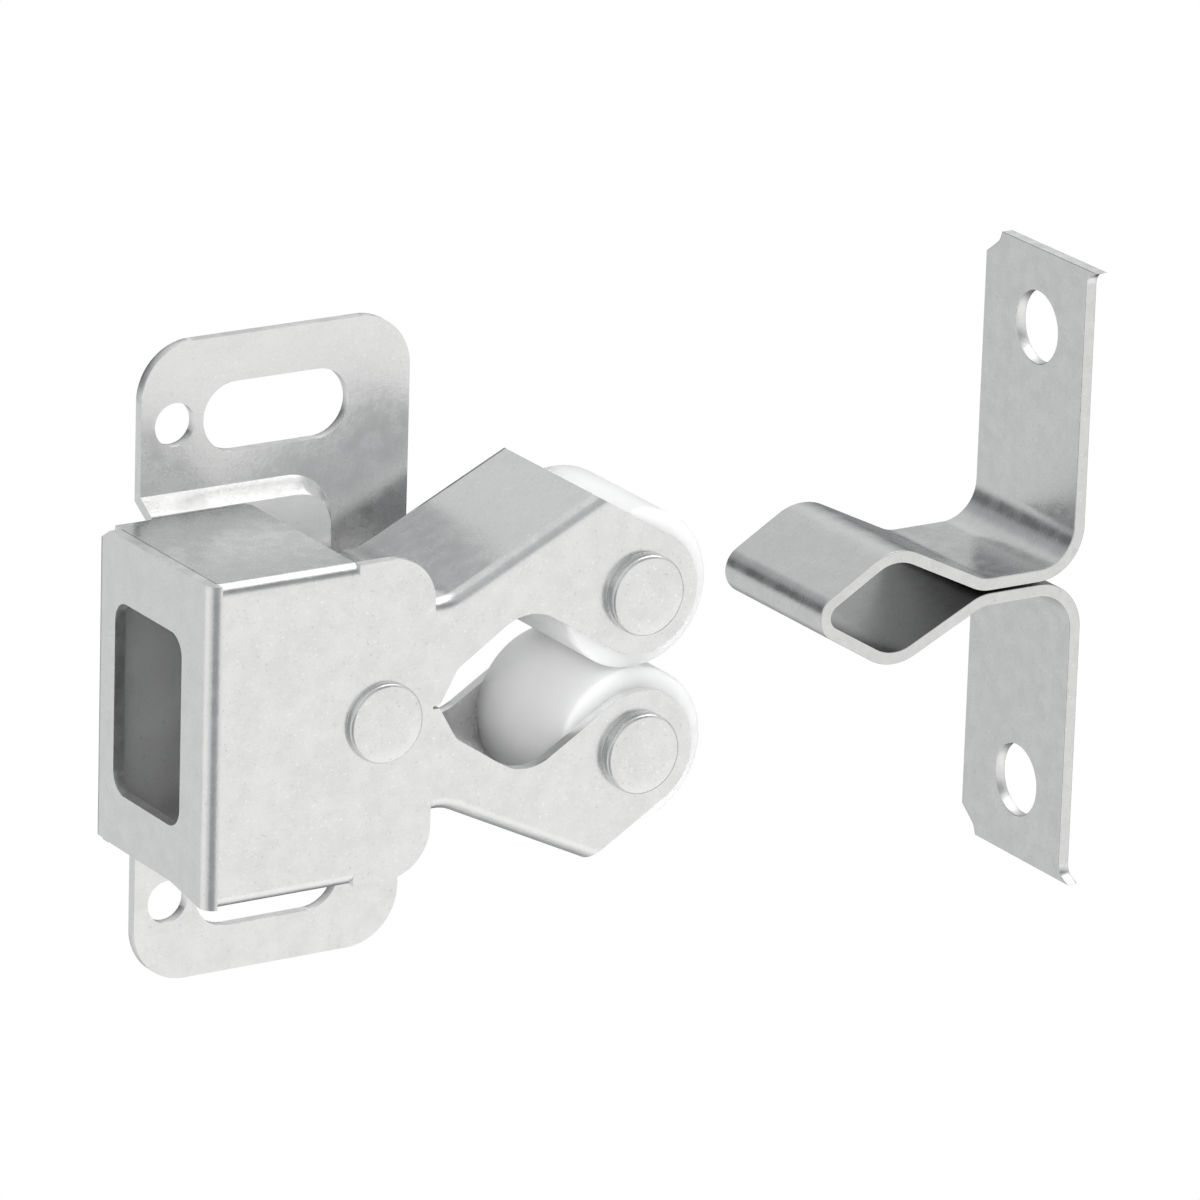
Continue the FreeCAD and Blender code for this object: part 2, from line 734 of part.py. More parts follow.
def torsion_spring():
    """One wire, whose coil runs on at its own slope in two straight legs."""
    coil, wire = number("pivot_radius + coil_gap + wire_radius"), number("wire_radius")
    pitch, turns = number("coil_pitch"), number("coil_turns")
    leg_top = number(TAIL_HEIGHT + " - arm_sheet - leg_clearance - wire_radius")
    leg_end = Vector(-number("tail_length - leg_inset"), leg_top)
    touch = tangent_point(leg_end, Vector(), coil, RIGHT_TURN, False)
    start = math.degrees(math.atan2(touch.y, touch.x))
    path = coil_path(coil, pitch, pitch * (turns + 2 * start / 360), -start)
    lower, upper = path.Edges[0], path.Edges[-1]
    roots = [(lower.valueAt(lower.FirstParameter), -lower.tangentAt(lower.FirstParameter)),
             (upper.valueAt(upper.LastParameter), upper.tangentAt(upper.LastParameter))]
    section = Part.Wire(Part.makeCircle(wire, *roots[0]))
    slope = math.atan(pitch / (2 * math.pi * coil))
    leg_length = (leg_end - touch).Length / math.cos(slope)
    legs = [Part.makeCylinder(wire, leg_length, root, along) for root, along in roots]
    solid = path.makePipeShell([section], True, True).fuse(legs)
    solid.rotate(Vector(), Vector(1, 0, 0), 90)
    spring = doc.addObject("Part::Feature", "torsion_spring")
    spring.Label = "torsion_spring"
    spring.Shape = solid
    place(spring, PIVOT_X, "-" + ARM_MIDDLE, "0")
    return spring


# Strike: one strip folded into two screw flanges, a flat neck and a hollow bulb


def strike_half(body):
    front, rear = "bulb_front_slope", "bulb_rear_slope"
    neck = "(neck_gap / 2 + strike_sheet)"
    tip_x = "(-bulb_reach - bulb_height / tan(%s) + bulb_tip / sin(%s))" % (front, front)
    neck_x = "(-bulb_reach + (bulb_height - %s) / tan(%s))" % (neck, rear)
    turned_by = "(1 + cos(%s + %s))" % (front, rear)
    peak_x = "(-bulb_reach - strike_sheet * (sin(%s) - sin(%s)) / %s)" % (rear, front, turned_by)
    peak_z = "(bulb_height - strike_sheet * (cos(%s) + cos(%s)) / %s)" % (rear, front, turned_by)
    outline = Outline(body, "StripOutline")
    outline.arc_from(tip_x, "0", (tip_x + " - bulb_tip", "0"), RIGHT_TURN)
    outline.rounded("-bulb_reach", "bulb_height", "bulb_round")
    outline.rounded(neck_x, neck, "neck_round")
    outline.rounded("-strike_sheet", neck, "strike_bend - strike_sheet")
    outline.corner("-strike_sheet", "strike_height / 2")
    outline.corner("0", "strike_height / 2")
    outline.rounded("0", "neck_gap / 2", "strike_bend")
    outline.rounded(neck_x + " - strike_sheet * tan(%s / 2)" % rear, "neck_gap / 2",
                    "neck_round + strike_sheet")
    outline.rounded(peak_x, peak_z, "bulb_round - strike_sheet")
    outline.arc_to(tip_x, "0", (tip_x + " - bulb_tip + strike_sheet", "0"), LEFT_TURN)
    return outline.close()


def strike_ends(body):
    """The cut that parts the strip takes a bit of one corner and leaves an ear on the other."""
    for name, side in (("Upper", "1"), ("Lower", "-1")):
        end = side + " * strike_height / 2"
        beyond = side + " * strike_height"
        trim_start = "strike_width / 2 - end_trim_width"
        foot = side + " * (strike_height / 2 - end_trim_height)"
        trim = Outline(body, name + "TrimOutline", "YZ_Plane")
        trim.corner(trim_start, end)
        trim.rounded(trim_start + " + end_trim_lean", side + " * (strike_height / 2 - end_trim_knee)",
                     "end_round")
        trim.corner("strike_width / 2", foot)
        trim.corner("strike_width", foot)
        trim.corner("strike_width", beyond)
        trim.corner(trim_start, beyond)
        pocket(body, name + "Trim", trim.close(), "4 * strike_sheet", symmetric=True)
        inside = "-strike_width / 2 + ear_reach"
        root = side + " * (strike_height / 2 - ear_height)"
        ear = Outline(body, name + "EarOutline", "YZ_Plane", lift="-strike_sheet")
        ear.corner(inside, end)
        ear.corner("-strike_width / 2 - ear_reach", end)
        ear.rounded("-strike_width / 2", side + " * (strike_height / 2 - ear_knee)", "end_round")
        ear.corner("-strike_width / 2", root)
        ear.corner(inside, root)
        pad(body, name + "Ear", ear.close(), "strike_sheet")


def strike():
    body = new_body("strike")
    half = pad(body, "Strip", strike_half(body), "strike_width", symmetric=True)
    mirrored = body.newObject("PartDesign::Mirrored", "OtherHalf")
    mirrored.Originals = [half]
    plane = [item for item in body.Origin.OriginFeatures if item.Role == "XY_Plane"][0]
    mirrored.MirrorPlane = (plane, [""])
    body.Tip = mirrored
    doc.recompute()
    strike_ends(body)
    holes = [("-strike_hole_shift", side + " * strike_fixing_height", "strike_hole / 2")
             for side in ("1", "-1")]
    sketch = circle_sketch(body, "ScrewHoleCircles", holes, "YZ_Plane")
    pocket(body, "ScrewHoles", sketch, "4 * strike_sheet", symmetric=True)
    place(body, PIVOT_X + " + strike_distance", "-%s + strike_setback" % ARM_MIDDLE, "0")
    return body


pieces = [
    catch_bracket(),
    pivot_rivet(),
    upper_arm(),
    lower_arm(),
    roller("upper_roller", UPPER),
    roller("lower_roller", LOWER),
    roller_rivet("upper_roller_rivet", UPPER),
    roller_rivet("lower_roller_rivet", LOWER),
    torsion_spring(),
    strike(),
]
doc.recompute()

for item in doc.Objects:
    if "Invalid" in item.State or "Error" in item.State:
        raise RuntimeError("%s failed: %s" % (item.Label, item.State))
os.makedirs("parts", exist_ok=True)
for piece in pieces:
    shape = piece.Shape
    if shape.isNull() or not shape.isValid() or len(shape.Solids) != 1:
        raise RuntimeError("%s isn't one valid solid" % piece.Label)
for piece in pieces:
    piece.Shape.exportStep("parts/%s.step" % piece.Label)
    print("%s %.1f mm3" % (piece.Label, piece.Shape.Volume))
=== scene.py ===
"""Looks of a sprung double roller catch and its strike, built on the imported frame."""

import json
import logging
import math
from dataclasses import dataclass, field
from enum import Enum

import bmesh
import bpy
from mathutils import Matrix, Vector
from mathutils.bvhtree import BVHTree


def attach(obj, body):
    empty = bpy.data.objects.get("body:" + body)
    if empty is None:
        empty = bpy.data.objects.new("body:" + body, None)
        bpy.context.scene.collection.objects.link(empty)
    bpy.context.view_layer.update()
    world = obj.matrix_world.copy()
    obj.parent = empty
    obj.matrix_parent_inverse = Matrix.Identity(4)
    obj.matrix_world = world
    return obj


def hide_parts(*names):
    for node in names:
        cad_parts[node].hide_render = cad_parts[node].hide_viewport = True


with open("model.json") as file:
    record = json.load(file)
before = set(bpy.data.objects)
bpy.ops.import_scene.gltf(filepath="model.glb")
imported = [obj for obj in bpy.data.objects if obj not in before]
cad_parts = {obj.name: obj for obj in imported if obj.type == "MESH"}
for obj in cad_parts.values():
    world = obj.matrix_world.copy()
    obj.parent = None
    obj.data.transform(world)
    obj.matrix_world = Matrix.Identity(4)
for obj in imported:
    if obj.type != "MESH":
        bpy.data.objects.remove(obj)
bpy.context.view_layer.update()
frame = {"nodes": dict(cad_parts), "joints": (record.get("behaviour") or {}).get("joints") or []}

MM = 0.001
WHITE = (1.0, 1.0, 1.0, 1.0)
WELD_DISTANCE = 0.002 * MM
FLAT_ANGLE = math.radians(0.6)
PROBE_STEP = 0.01 * MM
EASE_SEGMENTS = 2
ROUND_PROFILE = 0.5
NO_CUTS = math.inf
log = logging.getLogger("roller_catch")


class Side(Enum):
    """Which of the two mirrored arms a piece belongs to."""

    UPPER = 1
    LOWER = -1

    @property
    def word(self) -> str:
        """The prefix of this side's nodes."""
        return self.name.lower()


class Skin(Enum):
    """The kinds of surface on a piece of sheet metal, numbered as the finishes of a piece are."""

    FACE = 0
    CUT = 1
    # Inner faces take a finish with a tone of painted light: lighter inside the housing, darker as
    # painted shade inside the strike's bulb.
    INNER_PAINTED_LIGHT = 2


class Wiring:
    """Adds and joins the nodes of one shader tree."""

    def __init__(self, tree: bpy.types.NodeTree) -> None:
        """Starts with an empty tree.

        Args:
            tree: The node tree of a material, a world or a group.
        """
        self.tree = tree
        tree.nodes.clear()

    def node(self, kind: str, inputs: dict | None = None, **settings: object) -> bpy.types.Node:
        """Adds a node.

        Args:
            kind: The node's type, without the ShaderNode prefix where it has one.
            inputs: Values or output sockets for its inputs, by name or number.
            **settings: The node's own properties.

        Returns:
            The new node.
        """
        full = kind if kind.startswith("NodeGroup") else "ShaderNode" + kind
        made = self.tree.nodes.new(full)
        for name, value in settings.items():
            setattr(made, name, value)
        for name, value in (inputs or {}).items():
            if isinstance(value, bpy.types.NodeSocket):
                self.tree.links.new(value, made.inputs[name])
            else:
                made.inputs[name].default_value = value
        return made

    def math(self, operation: str, first: object, second: object,
             third: object = 0.0) -> bpy.types.NodeSocket:
        """The result of a Math node.

        Args:
            operation: The node's operation.
            first: Its first value or socket.
            second: Its second value or socket.
            third: Its third value or socket, which only some operations use.

        Returns:
            The output socket.
        """
        return self.node("Math", {0: first, 1: second, 2: third}, operation=operation).outputs[0]

    def spread(self, value: bpy.types.NodeSocket, low: float, high: float,
               start: object = 0.0, end: object = 1.0) -> bpy.types.NodeSocket:
        """A smooth change from start to end as the value goes from low to high.

        Args:
            value: The socket that is read.
            low: The value at which the change starts.
            high: The value at which it ends.
            start: The result below low.
            end: The result above high.

        Returns:
            The output socket.
        """
        sockets = {"Value": value, "From Min": low, "From Max": high, "To Min": start, "To Max": end}
        return self.node("MapRange", sockets, interpolation_type="SMOOTHSTEP").outputs[0]

    def blend(self, factor: object, first: object, second: object) -> bpy.types.NodeSocket:
        """A mix of two colours.

        Args:
            factor: How much of the second colour is used.
            first: The first colour or socket.
            second: The second colour or socket.

        Returns:
            The colour socket.
        """
        return self.node("Mix", {0: factor, 6: first, 7: second}, data_type="RGBA").outputs[2]

    def noise(self, vector: bpy.types.NodeSocket, size: bpy.types.NodeSocket,
              detail: float, roughness: float) -> bpy.types.NodeSocket:
        """A noise whose features have a size in millimetres.

        Args:
            vector: The place at which it is read, in metres.
            size: The size of its features, in millimetres.
            detail: The number of finer layers.
            roughness: The strength of the finer layers.

        Returns:
            The output socket.
        """
        scale = self.math("DIVIDE", 1 / MM, size)
        sockets = {"Vector": vector, "Scale": scale, "Detail": detail, "Roughness": roughness}
        return self.node("TexNoise", sockets).outputs[0]


class EffectGroups:
    """Shader node groups that more than one finish uses, each built once."""

    def __init__(self) -> None:
        """Builds every group."""
        self.mottle = self._mottle()
        self.grain = self._grain()

    @staticmethod
    def _start(name: str, inputs: dict[str, float],
               outputs: tuple[str, ...]) -> tuple[Wiring, bpy.types.Node, bpy.types.Node]:
        """Starts a group with its named sockets.

        Args:
            name: The group's name.
            inputs: Names of the number inputs and their usual values.
            outputs: Names of the number outputs.

        Returns:
            The wiring, the group's input node and its output node.
        """
        tree = bpy.data.node_groups.new(name, "ShaderNodeTree")
        wiring = Wiring(tree)
        tree.interface.new_socket("Vector", in_out="INPUT", socket_type="NodeSocketVector")
        for label, value in inputs.items():
            socket = tree.interface.new_socket(label, in_out="INPUT", socket_type="NodeSocketFloat")
            socket.default_value = value
        for label in outputs:
            tree.interface.new_socket(label, in_out="OUTPUT", socket_type="NodeSocketFloat")
        start = wiring.node("NodeGroupInput")
        end = wiring.node("NodeGroupOutput")
        return wiring, start, end

    def _mottle(self) -> bpy.types.NodeTree:
        """Cloudy patches of a zinc coat, 0 to 1, and its small specks, -1 (dark) to 1 (bright)."""
        wiring, start, end = self._start(
            "zinc mottle", {"Patch Size": 1.4, "Speck Size": 0.22}, ("Patches", "Specks"))
        vector = start.outputs["Vector"]
        patch = wiring.noise(vector, start.outputs["Patch Size"], detail=4.0, roughness=0.6)
        clouds = wiring.spread(patch, 0.3, 0.7)
        speck = wiring.noise(vector, start.outputs["Speck Size"], detail=2.0, roughness=0.7)
        bright = wiring.spread(speck, 0.62, 0.74)
        dark = wiring.spread(speck, 0.38, 0.26)
        wiring.tree.links.new(clouds, end.inputs["Patches"])
        wiring.tree.links.new(wiring.math("SUBTRACT", bright, dark), end.inputs["Specks"])
        return wiring.tree

    def _grain(self) -> bpy.types.NodeTree:
        """The height of a fine surface grain on broad waves, for a Bump node."""
        wiring, start, end = self._start(
            "surface grain", {"Grain Size": 0.12, "Wave Size": 2.5, "Wave Share": 0.5}, ("Height",))
        vector = start.outputs["Vector"]
        small = wiring.noise(vector, start.outputs["Grain Size"], detail=3.0, roughness=0.6)
        large = wiring.noise(vector, start.outputs["Wave Size"], detail=1.0, roughness=0.4)
        waves = wiring.math("MULTIPLY", large, start.outputs["Wave Share"])
        wiring.tree.links.new(wiring.math("ADD", small, waves), end.inputs["Height"])
        return wiring.tree


@dataclass(frozen=True)
class ZincFinish:
    """Zinc plated steel with a fine mottle.

    Attributes:
        name: The material's name.
        tone: The grey of the metal.
        patch_tone: How much the grey differs between the cloudy patches.
        speck_tone: How much a speck differs from the grey around it.
        roughness: The mean roughness.
        roughness_change: How much the roughness differs between the patches.
        metallic: How much of the surface is bare metal.
        patch_size: The size of a patch, in millimetres.
        speck_size: The size of a speck, in millimetres.
        grain_size: The size of the fine grain, in millimetres.
        grain_height: The height of the grain.
        wave_share: The height of the broad waves, as a share of the grain's.
    """

    name: str
    tone: float = 0.85
    patch_tone: float = 0.07
    speck_tone: float = 0.12
    roughness: float = 0.25
    roughness_change: float = 0.08
    metallic: float = 1.0
    patch_size: float = 1.4
    speck_size: float = 0.26
    grain_size: float = 0.24
    grain_height: float = 0.0095 * MM
    wave_share: float = 1.5

    def material(self, effects: EffectGroups) -> bpy.types.Material:
        """Builds the material.

        Args:
            effects: The shared node groups.

        Returns:
            The new material.
        """
        made = bpy.data.materials.new(self.name)
        made.use_nodes = True
        wiring = Wiring(made.node_tree)
        place = wiring.node("TexCoord").outputs["Object"]
        mottle = wiring.node("Group", node_tree=effects.mottle)
        mottle.inputs["Patch Size"].default_value = self.patch_size
        mottle.inputs["Speck Size"].default_value = self.speck_size
        grain = wiring.node("Group", node_tree=effects.grain)
        grain.inputs["Grain Size"].default_value = self.grain_size
        grain.inputs["Wave Share"].default_value = self.wave_share
        for group in (mottle, grain):
            wiring.tree.links.new(place, group.inputs["Vector"])
        patches = mottle.outputs["Patches"]
        shade = wiring.math("MULTIPLY_ADD", patches, self.patch_tone, self.tone - self.patch_tone / 2)
        shade = wiring.math("ADD", shade, wiring.math("MULTIPLY", mottle.outputs["Specks"],
                                                      self.speck_tone))
        color = wiring.node("CombineColor", {0: shade, 1: shade, 2: shade})
        half_change = self.roughness_change / 2
        rough = wiring.spread(patches, 0.0, 1.0, self.roughness - half_change,
                              self.roughness + half_change)
        bump = wiring.node("Bump", {"Height": grain.outputs["Height"], "Distance": self.grain_height})
        shader = wiring.node("BsdfPrincipled", {
            "Base Color": color.outputs[0], "Metallic": self.metallic,
            "Roughness": rough, "Normal": bump.outputs[0]})
        wiring.node("OutputMaterial", {"Surface": shader.outputs[0]})
        return made


@dataclass(frozen=True)
class NylonFinish:
    """Moulded nylon of the rollers.

    Attributes:
        name: The material's name.
        tone: The colour of the nylon.
        patch_change: The colour of its darker clouds, as a share of the tone.
        patch_size: The size of a cloud, in millimetres.
        depth: How far light spreads below the surface.
        roughness: The roughness of the surface.
        grain_size: The size of the fine grain, in millimetres.
        grain_height: The height of the grain.
    """

    name: str = "roller nylon"
    tone: tuple[float, float, float] = (0.88, 0.885, 0.88)
    patch_change: float = 0.97
    patch_size: float = 6.0
    depth: float = 8.0 * MM
    roughness: float = 0.42
    grain_size: float = 0.5
    grain_height: float = 0.004 * MM

    def material(self, effects: EffectGroups) -> bpy.types.Material:
        """Builds the material.

        Args:
            effects: The shared node groups.

        Returns:
            The new material.
        """
        made = bpy.data.materials.new(self.name)
        made.use_nodes = True
        wiring = Wiring(made.node_tree)
        place = wiring.node("TexCoord").outputs["Object"]
        mottle = wiring.node("Group", {"Vector": place}, node_tree=effects.mottle)
        mottle.inputs["Patch Size"].default_value = self.patch_size
        low = tuple(self.patch_change * part for part in self.tone) + (1.0,)
        color = wiring.blend(mottle.outputs["Patches"], low, self.tone + (1.0,))
        grain = wiring.node("Group", {"Vector": place, "Grain Size": self.grain_size},
                            node_tree=effects.grain)
        bump = wiring.node("Bump", {"Height": grain.outputs["Height"], "Distance": self.grain_height})
        shader = wiring.node("BsdfPrincipled", {
            "Base Color": color, "Roughness": self.roughness, "Subsurface Weight": 1.0,
            "Subsurface Scale": self.depth, "Subsurface Radius": (1.0, 1.0, 1.0),
            "Normal": bump.outputs[0]})
        wiring.node("OutputMaterial", {"Surface": shader.outputs[0]})
        return made


def ease(shape: bmesh.types.BMesh, edges: list[bmesh.types.BMEdge], width: float) -> None:
    """Rounds some edges of a mesh a little.

    Args:
        shape: The mesh.
        edges: The edges.
        width: How far from each edge the rounding starts.
    """
    bmesh.ops.bevel(shape, geom=edges, offset=width, offset_type="OFFSET", segments=EASE_SEGMENTS,
                    profile=ROUND_PROFILE, affect="EDGES", material=-1, clamp_overlap=True)


@dataclass
class SolidPiece:
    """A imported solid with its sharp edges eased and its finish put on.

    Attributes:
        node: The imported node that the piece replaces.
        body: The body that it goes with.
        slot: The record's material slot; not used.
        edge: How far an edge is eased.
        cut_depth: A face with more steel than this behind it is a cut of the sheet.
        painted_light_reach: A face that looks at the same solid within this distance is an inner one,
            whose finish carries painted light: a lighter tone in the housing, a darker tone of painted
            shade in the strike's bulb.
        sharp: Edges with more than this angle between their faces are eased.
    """

    node: str
    body: str
    slot: str
    edge: float = 0.09 * MM
    cut_depth: float = 1.3 * MM
    painted_light_reach: float = 0.0
    sharp: float = math.radians(32)

    def eased_mesh(self) -> bpy.types.Mesh:
        """A copy of the solid with merged vertices and eased edges.

        Returns:
            The new mesh, whose faces carry the numbers in Skin.
        """
        shape = bmesh.new()
        shape.from_mesh(frame["nodes"][self.node].data)
        bmesh.ops.remove_doubles(shape, verts=shape.verts, dist=WELD_DISTANCE)
        bmesh.ops.dissolve_limit(shape, angle_limit=FLAT_ANGLE, verts=shape.verts, edges=shape.edges)
        self._mark_skins(shape)
        edges = [edge for edge in shape.edges
                 if len(edge.link_faces) == 2 and edge.calc_face_angle() > self.sharp]
        ease(shape, edges, self.edge)
        mesh = bpy.data.meshes.new(self.node + "_eased")
        shape.to_mesh(mesh)
        shape.free()
        mesh.polygons.foreach_set("use_smooth", [True] * len(mesh.polygons))
        return mesh

    def _mark_skins(self, shape: bmesh.types.BMesh) -> None:
        """Gives each face the number of its kind of surface.

        Args:
            shape: The solid.
        """
        tree = BVHTree.FromBMesh(shape)
        for face in shape.faces:
            step = face.normal * PROBE_STEP
            centre = face.calc_center_median()
            depth = tree.ray_cast(centre - step, -face.normal)[3]
            across = tree.ray_cast(centre + step, face.normal, self.painted_light_reach)[3]
            skin = Skin.FACE
            if depth is not None and depth > self.cut_depth:
                skin = Skin.CUT
            # Faces that look at the same solid close by get the inner finish, whose tone is painted
            # light: lighter in the housing, painted shade in the strike's bulb.
            elif across is not None:
                skin = Skin.INNER_PAINTED_LIGHT
            face.material_index = skin.value

    def build(self, *finishes: bpy.types.Material) -> None:
        """Makes the piece, puts it in place of its solid and gives it its finishes.

        Args:
            *finishes: The materials in the order of Skin, as many as the piece has kinds of surface.
        """
        piece = bpy.data.objects.new(self.node + "_finished", self.eased_mesh())
        bpy.context.scene.collection.objects.link(piece)
        for finish in finishes:
            piece.data.materials.append(finish)
        smooth = piece.modifiers.new("Weighted normals", "WEIGHTED_NORMAL")
        smooth.mode = "FACE_AREA"
        smooth.weight = 100
        smooth.keep_sharp = True
        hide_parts(self.node)
        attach(piece, self.body)
        log.info("%s: %d faces", piece.name, len(piece.data.polygons))


@dataclass
class CatchBody:
    """The folded bracket with its pivot rivet.

    Attributes:
        bracket_edge: How far the sheet's edges are eased.
        housing_span: The longest way across the housing's inside, the reach within which inner faces
            get the lighter tone of painted light.
    """

    bracket_edge: float = 0.1 * MM
    housing_span: float = 22.0 * MM

    def build(self, finishes: dict[str, bpy.types.Material]) -> None:
        """Makes the bracket and the rivet.

        Args:
            finishes: The materials by name.
        """
        bracket = SolidPiece("catch_bracket", "catch", "zinc_plate", self.bracket_edge,
                             painted_light_reach=self.housing_span)
        # The housing's inner faces get a duller, rougher skin with a lighter tone, painted light that
        # lifts the shade inside the housing.
        bracket.build(finishes["zinc"], finishes["cut"], finishes["inside"])
        SolidPiece("pivot_rivet", "catch", "rivet_steel", cut_depth=NO_CUTS).build(finishes["rivet"])


@dataclass
class RollerArm:
    """An arm with its roller and the rivet that holds it.

    Attributes:
        side: Whether it is the upper or the lower arm.
        sheet_edge: How far the sheet's edges are eased.
    """

    side: Side
    sheet_edge: float = 0.1 * MM

    def build(self, finishes: dict[str, bpy.types.Material]) -> None:
        """Makes the arm, the rivet and the roller.

        Args:
            finishes: The materials by name.
        """
        arm = self.side.word + "_arm"
        roller = self.side.word + "_roller"
        SolidPiece(arm, arm, "zinc_plate", self.sheet_edge).build(finishes["zinc"], finishes["cut"])
        SolidPiece(roller + "_rivet", arm, "rivet_steel", cut_depth=NO_CUTS).build(finishes["rivet"])
        SolidPiece(roller, roller, "nylon", cut_depth=NO_CUTS).build(finishes["nylon"])


@dataclass
class TorsionSpring:
    """The wire spring on the pivot rivet: a still coil, and two legs that go with the arms' tails.

    Attributes:
        wire: The radius of the wire.
        coil: The radius of the coil, to the middle of the wire.
        pitch: How far the coil climbs in a turn.
        turns: The turns of the coil at rest, without the stretches at its ends.
        leg_end: The end of a leg, seen along the coil and measured from its axis.
        coil_end: The stretch by which the coil goes on at each end.
        tail_arc: The stretch of coil that goes with a leg.
        tail_wire: The radius of the legs' wire, a little less so that it hides in the coil's ends.
        sides: The sides of the round wire.
        step: The longest step along the coil.
        end_edge: How far the cut ends are eased.
    """

    wire: float = 0.45 * MM
    coil: float = 3.0 * MM
    pitch: float = 1.0 * MM
    turns: float = 4.0
    leg_end: tuple[float, float] = (-7.15 * MM, 9.05 * MM)
    coil_end: float = math.radians(50.0)
    tail_arc: float = math.radians(22.0)
    tail_wire: float = 0.444 * MM
    sides: int = 20
    step: float = math.radians(7.5)
    end_edge: float = 0.08 * MM

    def leg_root(self) -> float:
        """The angle at which a leg leaves the coil."""
        reach = math.hypot(*self.leg_end)
        return math.atan2(self.leg_end[1], self.leg_end[0]) - math.acos(self.coil / reach)

    def leg_length(self) -> float:
        """The straight length of a leg, along its slope."""
        level = math.sqrt(math.hypot(*self.leg_end) ** 2 - self.coil ** 2)
        return level * math.hypot(1.0, self.slope())

    def slope(self) -> float:
        """How much the coil climbs, as a share of the way along it."""
        return self.pitch / (math.tau * self.coil)

    def arc(self, radius: float, start: float, end: float, lift: float) -> bmesh.types.BMesh:
        """An open tube along the coil, about Z.

        Args:
            radius: The tube's radius.
            start: The angle at which it starts.
            end: The angle at which it ends.
            lift: The height of the coil's line at angle 0.

        Returns:
            The new mesh, whose last ring is selected.
        """
        shape = bmesh.new()
        ring = bmesh.ops.create_circle(shape, segments=self.sides, radius=radius)["verts"]
        lean = Matrix.Rotation(math.atan(self.slope()) - math.pi / 2, 3, "X")
        bmesh.ops.rotate(shape, verts=ring, matrix=lean)
        height = lift + self.pitch * start / math.tau
        bmesh.ops.translate(shape, verts=ring, vec=(self.coil, 0.0, height))
        bmesh.ops.rotate(shape, verts=ring, matrix=Matrix.Rotation(start, 3, "Z"))
        steps = math.ceil((end - start) / self.step)
        climb = self.pitch * (end - start) / steps / math.tau
        spun = bmesh.ops.spin(shape, geom=shape.edges[:], axis=(0.0, 0.0, 1.0), angle=end - start,
                              steps=steps, dvec=(0.0, 0.0, climb), use_merge=False)
        for item in spun["geom_last"]:
            item.select_set(True)
        return shape

    def finish(self, shape: bmesh.types.BMesh, name: str, body: str,
               finish: bpy.types.Material) -> bpy.types.Object:
        """Closes the tube, eases its cut ends and puts it on the rivet.

        Args:
            shape: The open tube about Z.
            name: The piece's name.
            body: The body that it goes with.
            finish: Its material.

        Returns:
            The new object.
        """
        rims = [edge for edge in shape.edges if edge.is_boundary]
        bmesh.ops.holes_fill(shape, edges=rims, sides=self.sides)
        ease(shape, rims, self.end_edge)
        bmesh.ops.recalc_face_normals(shape, faces=shape.faces)
        bmesh.ops.rotate(shape, verts=shape.verts, matrix=Matrix.Rotation(math.pi / 2, 3, "X"))
        pivot = next(joint["pos_m"] for joint in frame["joints"] if joint["name"] == "upper_arm_hinge")
        bmesh.ops.translate(shape, verts=shape.verts, vec=pivot)
        mesh = bpy.data.meshes.new(name)
        shape.to_mesh(mesh)
        shape.free()
        mesh.polygons.foreach_set("use_smooth", [True] * len(mesh.polygons))
        mesh.materials.append(finish)
        piece = bpy.data.objects.new(name, mesh)
        bpy.context.scene.collection.objects.link(piece)
        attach(piece, body)
        log.info("%s: %d faces", name, len(mesh.polygons))
        return piece

    def build(self, finish: bpy.types.Material) -> None:
        """Makes the coil and the two legs.

        Args:
            finish: The wire's material.
        """
        full = math.tau * self.turns
        half_height = self.pitch * self.turns / 2
        shape = self.arc(self.wire, -self.coil_end, full + self.coil_end, -half_height)
        coil = self.finish(shape, "spring_coil", "catch", finish)
        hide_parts("torsion_spring")
        root = self.leg_root()
        along = Vector((-math.sin(root), math.cos(root), self.slope())).normalized()
        for side in Side:
            shape = self.arc(self.tail_wire, root - self.tail_arc, root, half_height)
            ring = [edge for edge in shape.edges if edge.select]
            grown = bmesh.ops.extrude_edge_only(shape, edges=ring)["geom"]
            bmesh.ops.translate(shape, vec=along * self.leg_length(),
                                verts=[item for item in grown if isinstance(item, bmesh.types.BMVert)])
            if side is Side.LOWER:
                bmesh.ops.rotate(shape, verts=shape.verts, matrix=Matrix.Rotation(math.pi, 3, "X"))
            self.finish(shape, side.word + "_spring_leg", side.word + "_arm", finish)


@dataclass
class StrikePlate:
    """The strike, folded from one strip.

    Attributes:
        strip_edge: How far the strip's edges are eased.
        bulb_height: The height of the bulb, whose inner faces look at each other; within it they get a
            darker tone of painted shade.
    """

    strip_edge: float = 0.1 * MM
    bulb_height: float = 10.0 * MM

    def build(self, finishes: dict[str, bpy.types.Material]) -> None:
        """Makes the strike.

        Args:
            finishes: The materials by name.
        """
        strike = SolidPiece("strike", "strike", "zinc_plate", self.strip_edge,
                            painted_light_reach=self.bulb_height)
        # The bulb's inner faces get a darker tone: painted shade inside the bulb's hollow.
        strike.build(finishes["strike"], finishes["cut"], finishes["bulb painted shade"])


@dataclass(frozen=True)
class Glow:
    """A soft round patch of the surround that is lighter or darker than the rest.

    Attributes:
        toward: The direction of its middle.
        rim: The cosine of the angle from its middle to where it starts.
        core: The cosine of the angle from its middle to where it is full.
        change: How much it adds to the surround's level.
    """

    toward: tuple[float, float, float]
    rim: float
    core: float
    change: float


